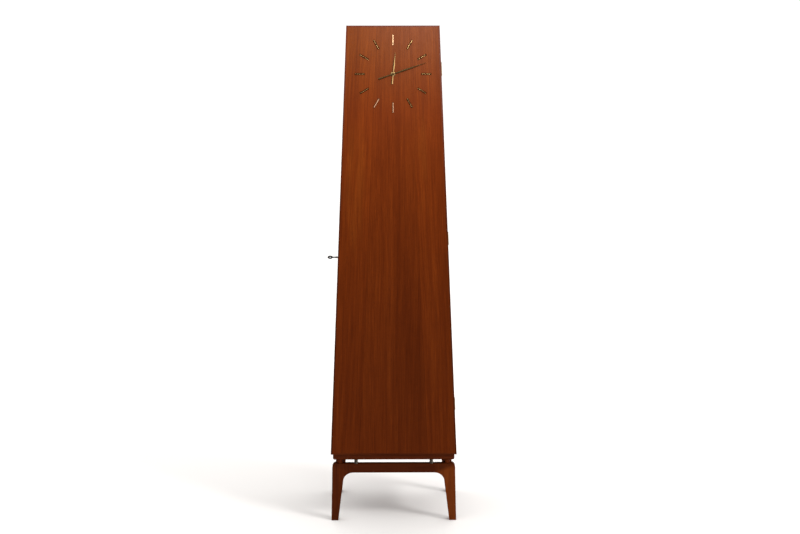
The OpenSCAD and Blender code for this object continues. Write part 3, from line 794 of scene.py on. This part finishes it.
def make_hands():
    """The hour hand on its sleeve, the minute hand on its arbor, and the nuts that hold them."""
    hub = steps((-6, 3.9), (-5.6, 4.6), (-4, 4.6), (-4, 2.5), (14, 2.5))
    make_hand("hour_hand_blade", "hour_hand", "hour_hand", math.radians(MINUTES / 2), 79 * MM, 7 * MM,
              36 * MM, -4.2 * MM, 2.0 * MM, [hub], bore=1.7 * MM)
    arbor = steps((-9.6, 3.6), (-9.3, 4.2), (-7.5, 4.2), (-7.2, 3.8), (-7.2, 1.6), (17, 1.6), (18, 1.0))
    tip = steps((-12, 1.0), (-11.7, 1.25), (-9, 1.25))
    make_hand("minute_hand_blade", "minute_hand", "minute_hand", math.radians(MINUTES * 6), 128 * MM, 6 * MM,
              56 * MM, -8.2 * MM, 1.5 * MM, [arbor, tip])
    nut = turned("hand_nut_dome", "y", CLOCK, steps((-14.6, 0.4), (-14.4, 1.2), (-13.6, 2.3), (-12.5, 3.0),
                                                    (-11.4, 3.2), (-9.9, 3.2), (-9.65, 2.9)))
    cut(nut, rod("y", CLOCK, 1.3 * MM, -12.1 * MM, -9 * MM))
    finished(nut, "minute_hand", "clock_brass", HUB_BRASS, "hand_nut")
    collar = turned("bush_nut", "y", CLOCK, steps((-2.5, 7.6), (-2.1, 8.6), (-1.5, 9), (-0.3, 9), (0, 8.8)),
                    sides=48)
    cut(collar, rod("y", CLOCK, 4.05 * MM, -4 * MM, 1 * MM))
    finished(collar, "door", "clock_brass", HUB_BRASS, "movement_nut")


def make_movement():
    """The moulded box behind the door, and the cell that drives it."""
    case = copy_of("movement_case", "movement_box")
    ease(case, 0.5 * MM, skip=lambda m: m.y < DOOR_BACK + 0.2 * MM)
    finished(case, "door", "movement_plastic", PLASTIC, "movement_case")
    low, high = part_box("battery")
    middle = Vector((0, (low.y + high.y) / 2, (low.z + high.z) / 2))
    r = (high.y - low.y) / 2
    button_r = 3.2 * MM
    cell = turned("battery_cell", "x", middle, [
        (low.x, r - 2.6 * MM), (low.x + 0.4 * MM, r - 2.2 * MM), (low.x + 0.5 * MM, r - 0.8 * MM),
        (low.x + 1.2 * MM, r), (high.x - 3.4 * MM, r), (high.x - 2.6 * MM, r - 0.8 * MM),
        (high.x - 2.6 * MM, r - 1.6 * MM), (high.x - 2 * MM, r - 1.8 * MM), (high.x - 2 * MM, button_r),
        (high.x - 0.3 * MM, button_r), (high.x, button_r - 0.5 * MM)], sides=48)
    finished(cell, "door", "battery_sleeve", sleeve("battery_sleeve", low.x, high.x), "battery")


# ---- Cabinet ----

SIDE_IN = 17 * MM  # from the leaning edge to the inner face of a side
SHELF_IN = 18 * MM
BACK_IN = 9 * MM
BACK_T = 6 * MM
SHELF_EDGE = 8 * MM
BOARD_ROUND = 10 * MM


def at_rim(low, high):
    """Tells whether a point is at the front, back, foot or top of a box."""
    near = 0.2 * MM
    return lambda m: m.y < low.y + near or m.y > high.y - near or m.z < low.z + near or m.z > high.z - near


def make_cabinet():
    """Sides, top with a rebate for the back, the back, and shelves with rounded front edges."""
    for side in ("left", "right"):
        rim = at_rim(*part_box("side_" + side))
        panel = ease(copy_of("side_" + side, "side_panel_" + side), 0.7 * MM, skip=lambda m: not rim(m))
        finished(panel, "cabinet", "teak_panel", SIDE_VENEER, "side_" + side)
    low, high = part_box("top_panel")
    top = leaning_board("top_board", low, high, SIDE_IN)
    cut(top, block("rebate", (-0.3, high.y - BACK_T, low.z - MM), (0.3, high.y + MM, high.z - 8 * MM)))
    ease(top, 0.7 * MM, skip=on_joint(SIDE_IN))
    finished(top, "cabinet", "teak_panel", TOP_VENEER, "top_panel")
    back = ease(leaning_board("back_board", *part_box("back_panel"), BACK_IN), 0.5 * MM)
    finished(back, "cabinet", "teak_inside", INNER_VENEER, "back_panel")
    for name in ("lower", "upper"):
        low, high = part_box("shelf_" + name)
        seam = low.y + SHELF_EDGE
        board = leaning_board("shelf_board_" + name, (0, seam, low.z), high, SHELF_IN)
        ease(board, 0.5 * MM, skip=lambda m: m.y < seam + 0.1 * MM)
        finished(board, "cabinet", "teak_inside", SHELF_VENEER, "shelf_" + name)
        edge = leaning_board("shelf_edge_" + name, low, (0, seam, high.z), SHELF_IN)
        ease(edge, 2.2 * MM, segments=4, skip=lambda m: m.y > seam - 0.1 * MM)
        finished(edge, "cabinet", "teak_inside", EDGING_ACROSS)


SPACER_X, SPACER_Y, SPACER_R = 146.5 * MM, 158.5 * MM, 7 * MM
BUTTON_X, BUTTON_Y, BUTTON_R = 209 * MM, 150 * MM, 10 * MM


def make_bottom_board():
    """The solid board under the body, round below and bored for the metal spacers."""
    low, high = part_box("bottom_board")
    board = block("base_board", low, high)
    edit(board)
    pick("EDGE", lambda m, e: m.z < low.z + 0.1 * MM)
    bpy.ops.mesh.bevel(offset=BOARD_ROUND, segments=7, affect="EDGES", profile=0.5)
    done()
    ease(board, 0.8 * MM, skip=lambda m: m.z < high.z - 0.5 * MM)
    cut(board, *[rod("z", (x, y, 0), SPACER_R + 0.1 * MM, low.z - 5 * MM, low.z + 6 * MM)
                 for x in (-SPACER_X, SPACER_X) for y in (-SPACER_Y, SPACER_Y)])
    finished(board, "cabinet", "teak_solid", BOARD_TEAK, "bottom_board")


def four(piece, name):
    """The same piece at the four corners, joined."""
    across = another(piece, "twin", MIRROR_X)
    behind = [another(p, "twin", MIRROR_Y) for p in (piece, across)]
    return join(name, piece, across, *behind)


def make_spacers():
    """Grooved metal collars and plain wooden buttons between the body and the stand."""
    low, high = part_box("metal_spacers")
    h = high.z - low.z
    r, groove = SPACER_R, SPACER_R - 0.6 * MM
    collar = [(0, r - 0.5 * MM), (0.5 * MM, r), (3.2 * MM, r), (3.5 * MM, groove), (4.2 * MM, groove),
              (4.5 * MM, r), (h - 6.5 * MM, r), (h - 6.2 * MM, groove), (h - 5.6 * MM, groove),
              (h - 5.3 * MM, r), (h - 0.5 * MM, r), (h, r - 0.5 * MM)]
    one = turned("spacer", "z", (SPACER_X, -SPACER_Y, low.z), collar, sides=40)
    cut(one, rod("z", (SPACER_X, -SPACER_Y, low.z), 2.55 * MM, -MM, h + MM))
    finished(four(one, "metal_collars"), "cabinet", "steel", STEEL, "metal_spacers")
    low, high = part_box("corner_spacers")
    h = high.z - low.z
    ease_w = 0.8 * MM
    button = [(0, BUTTON_R - ease_w), (ease_w, BUTTON_R), (h - ease_w, BUTTON_R), (h, BUTTON_R - ease_w)]
    one = turned("button", "z", (BUTTON_X, -BUTTON_Y, low.z), button, sides=40)
    finished(four(one, "corner_buttons"), "cabinet", "teak_solid", SPACER_TEAK, "corner_spacers")


# ---- Stand ----

LEG_LOW, LEG_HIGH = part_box("leg_front_right")
STAND_HALF = 239 * MM
FOOT_HALF = 244.6 * MM
FOOT_W = 27 * MM
KNEE_R = 38 * MM
SHOULDER_R = 15 * MM
INNER_SLOPE = 0.1238
KNEE_X = LEG_LOW.x
KNEE_Z = RAIL_LOW - KNEE_R
ARM_X = FOOT_HALF - FOOT_W - 22 * MM
ARM_BACK = -144 * MM
TAPER = 5 * MM
TAPER_Z = 158 * MM


def make_legs():
    """One leg: a sawn blank, its knee cut round, its shoulder and edges rounded, then three copies."""
    y_front, y_back = LEG_LOW.y, LEG_HIGH.y
    middle_x, middle_y = FOOT_HALF - FOOT_W / 2, (y_front + y_back) / 2
    leg = block("leg", (FOOT_HALF - FOOT_W, y_front, 0), (FOOT_HALF, y_back, KNEE_Z))
    lean_in = (STAND_HALF - FOOT_HALF) / (STAND_TOP - SHOULDER_R)
    slide((lean_in * KNEE_Z, 0, 0), lambda m, v: m.z > 0.1 and m.x > middle_x)
    slide((-INNER_SLOPE * KNEE_Z, 0, 0), lambda m, v: m.z > 0.1 and m.x < middle_x)
    edit(leg)
    pick("FACE", lambda m, face: face.normal.z > 0.9)
    bpy.ops.mesh.extrude_region_move(TRANSFORM_OT_translate={"value": (0, 0, STAND_TOP - KNEE_Z)})
    pick("VERT", lambda m, v: m.z > STAND_TOP - MM and m.x > middle_x)
    bpy.ops.transform.translate(value=(STAND_HALF - picked_x(leg), 0, 0))
    pick("FACE", lambda m, face: face.normal.x < -0.9 and m.z > KNEE_Z)
    bpy.ops.mesh.extrude_region_move(TRANSFORM_OT_translate={"value": (-0.05, 0, 0)})
    done()
    cut(leg, block("saw", (0, y_front - MM, -MM), (KNEE_X, y_back + MM, STAND_TOP + MM)),
        rod("y", (KNEE_X, 0, KNEE_Z), KNEE_R, y_front - MM, y_back + MM, sides=128))
    edit(leg)
    pick("EDGE", lambda m, e: m.z > STAND_TOP - MM and m.x > STAND_HALF - MM and abs(m.y - middle_y) < MM)
    bpy.ops.mesh.bevel(offset=SHOULDER_R, segments=10, affect="EDGES", profile=0.5)
    done()
    # the back of the leg is planed away towards the floor
    plane = block("plane", (0, y_back - TAPER, -0.01), (0.3, y_back + 0.02, TAPER_Z))
    slide((0, TAPER, 0), lambda m, v: m.z > 0.1 and m.y < y_back)
    cut(leg, plane)
    # and the arm down to the thickness of the rail
    cut(leg, block("arm_plane", (0, ARM_BACK, 0.1), (ARM_X, y_back + MM, STAND_TOP + MM)))

    def on_rail(m):
        return m.x < KNEE_X + 0.2 * MM and m.z > RAIL_LOW - MM or m.y > y_back - 0.2 * MM and m.z > RAIL_LOW

    ease(leg, 1.4 * MM, segments=3, skip=on_rail)
    legs = {"front_right": leg}
    turns = {"front_left": MIRROR_X, "rear_right": MIRROR_Y, "rear_left": MIRROR_X @ MIRROR_Y}
    for place, turn in turns.items():
        legs[place] = another(leg, "leg", turn)
    for place, made in legs.items():
        made.name = "stand_leg_" + place
        # painted light: the front right leg takes the lit copy of the leg teak
        finish = LIT_LEG_TEAK if place == "front_right" else LEG_TEAK
        finished(made, "cabinet", "teak_solid", finish, "leg_" + place)


def make_rails():
    """Straight rails front and rear, and side rails that curve down to the legs."""
    low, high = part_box("rail_front")
    rail = block("stand_rail_front", low, high)
    ease(rail, 1.4 * MM, segments=3, skip=lambda m: abs(m.x) > high.x - MM)
    rear = another(rail, "stand_rail_rear", MIRROR_Y)
    finished(rail, "cabinet", "teak_solid", RAIL_TEAK, "rail_front")
    finished(rear, "cabinet", "teak_solid", RAIL_TEAK, "rail_rear")
    for side in ("left", "right"):
        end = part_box("rail_" + side)[1].y
        made = copy_of("rail_" + side, "stand_rail_" + side)
        ease(made, 1.2 * MM, skip=lambda m: abs(m.y) > end - 0.3 * MM)
        finished(made, "cabinet", "teak_solid", SIDE_RAIL_TEAK, "rail_" + side)


# ---- Fittings ----

KEY_SIDE = -half(KEY_AT.z) + MM  # where the key meets the left side
BOW_L, BOW_H, BOW_T = 20 * MM, 13 * MM, 2.6 * MM
SHANK_R = 2.75 * MM
COLLAR_R = 3.9 * MM
BIT_T = 1.8 * MM


def make_key():
    """A cabinet key: an oval bow, a shank with a turned neck and collar, and a flat bit."""
    low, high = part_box("key")
    tip, end, side = low.x, high.x, KEY_SIDE
    ring = BOW_H / 2 * 0.4
    clear()
    bpy.ops.mesh.primitive_torus_add(major_segments=48, minor_segments=16, major_radius=BOW_H / 2 - ring,
                                     minor_radius=ring, rotation=(math.pi / 2, 0, 0))
    bow = settle(bpy.context.object)
    bow.scale = (BOW_L / BOW_H, BOW_T / (2 * ring), 1)
    bow.location = (tip + BOW_L / 2, KEY_AT.y, KEY_AT.z)
    settle(bow)
    neck = tip + BOW_L - 2 * MM
    shank = turned("shank", "x", KEY_AT, [
        (neck, 1.4 * MM), (neck + 1.5 * MM, 2.6 * MM), (neck + 4 * MM, 3.1 * MM), (neck + 5 * MM, 2.3 * MM),
        (side - 12 * MM, 2.4 * MM), (side - 11 * MM, SHANK_R), (side - 11 * MM, COLLAR_R - 0.3 * MM),
        (side - 10.6 * MM, COLLAR_R), (side - 8.4 * MM, COLLAR_R), (side - 8 * MM, COLLAR_R - 0.3 * MM),
        (side - 8 * MM, SHANK_R), (end - 0.8 * MM, SHANK_R), (end, 2.1 * MM)])
    bit = block("bit", (side + 2 * MM, KEY_AT.y - BIT_T / 2, KEY_AT.z - 4.6 * MM),
                (end - MM, KEY_AT.y + BIT_T / 2, KEY_AT.z))
    ease(bit, 0.25 * MM)
    finished(join("cabinet_key", shank, bow, bit), "key", "key_iron", KEY_IRON, "key")


def make_key_plate():
    """The round plate that the key goes through, flat on the leaning side."""
    plate = turned("key_plate", "x", (0, 0, 0), steps((-1, 9.6), (-0.8, 10.6), (-0.4, 11), (0, 11)), sides=48)
    cut(plate, rod("x", (0, 0, 0), 5.5 * MM, -3 * MM, 3 * MM))
    plate.matrix_world = Matrix.Translation((KEY_SIDE, KEY_AT.y, KEY_AT.z)) @ Matrix.Rotation(LEAN, 4, "Y")
    finished(plate, "cabinet", "hardware_brass", AGED_BRASS, "escutcheon")


def make_pegs():
    """Three turned coat pegs on the back."""
    low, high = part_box("coat_pegs")
    knob = steps((-50, 1.5), (-49.7, 3.4), (-48.6, 5.2), (-46.5, 7), (-42, 8), (-38.5, 7.2), (-36.3, 5.4),
                 (-35.2, 4), (-30, 3.4), (-14, 3.6), (-7, 4.4), (-4, 6), (-3, 7.4), (-2.8, 10), (-2, 11),
                 (0, 11))
    pegs = [turned("peg", "y", (x, high.y - 5.5 * MM, (low.z + high.z) / 2), knob)
            for x in (-80 * MM, 0, 80 * MM)]
    finished(join("coat_knobs", *pegs), "cabinet", "hardware_brass", AGED_BRASS, "coat_pegs")


def make_lock():
    """The lock's case, tongue and bracket, their sawn edges broken."""
    for node, name, body, slot, finish in (("lock_case", "lock_box", "cabinet", "lock_iron", LOCK_IRON),
                                           ("lock_bolt", "lock_tongue", "bolt", "steel", SCREW_STEEL),
                                           ("lock_keep", "lock_bracket", "door", "steel", SCREW_STEEL)):
        finished(ease(copy_of(node, name), 0.25 * MM), body, slot, finish, node)


def dress_nodes():
    """Nodes whose shape is already right get their finish only."""
    finishes = {DOOR_VENEER: ["door_panel"], BEECH: ["stand_dowels"],
                SCREW_STEEL: ["base_screws", "frame_screws", "door_screws"],
                AGED_BRASS: ["hinge_pins", "shelf_pins", "lock_plug", "set_wheel"]
                + [f"hinge_{h}_{leaf}_leaf" for h in HINGES for leaf in ("frame", "door")]}
    for material, nodes in finishes.items():
        for node in nodes:
            frame["nodes"][node].data.materials.clear()
            frame["nodes"][node].data.materials.append(material)


add_camera()
add_studio()
dress_nodes()
make_door_edges()
make_hour_markers()
make_hands()
make_movement()
make_cabinet()
make_bottom_board()
make_spacers()
make_legs()
make_rails()
make_key()
make_key_plate()
make_pegs()
make_lock()
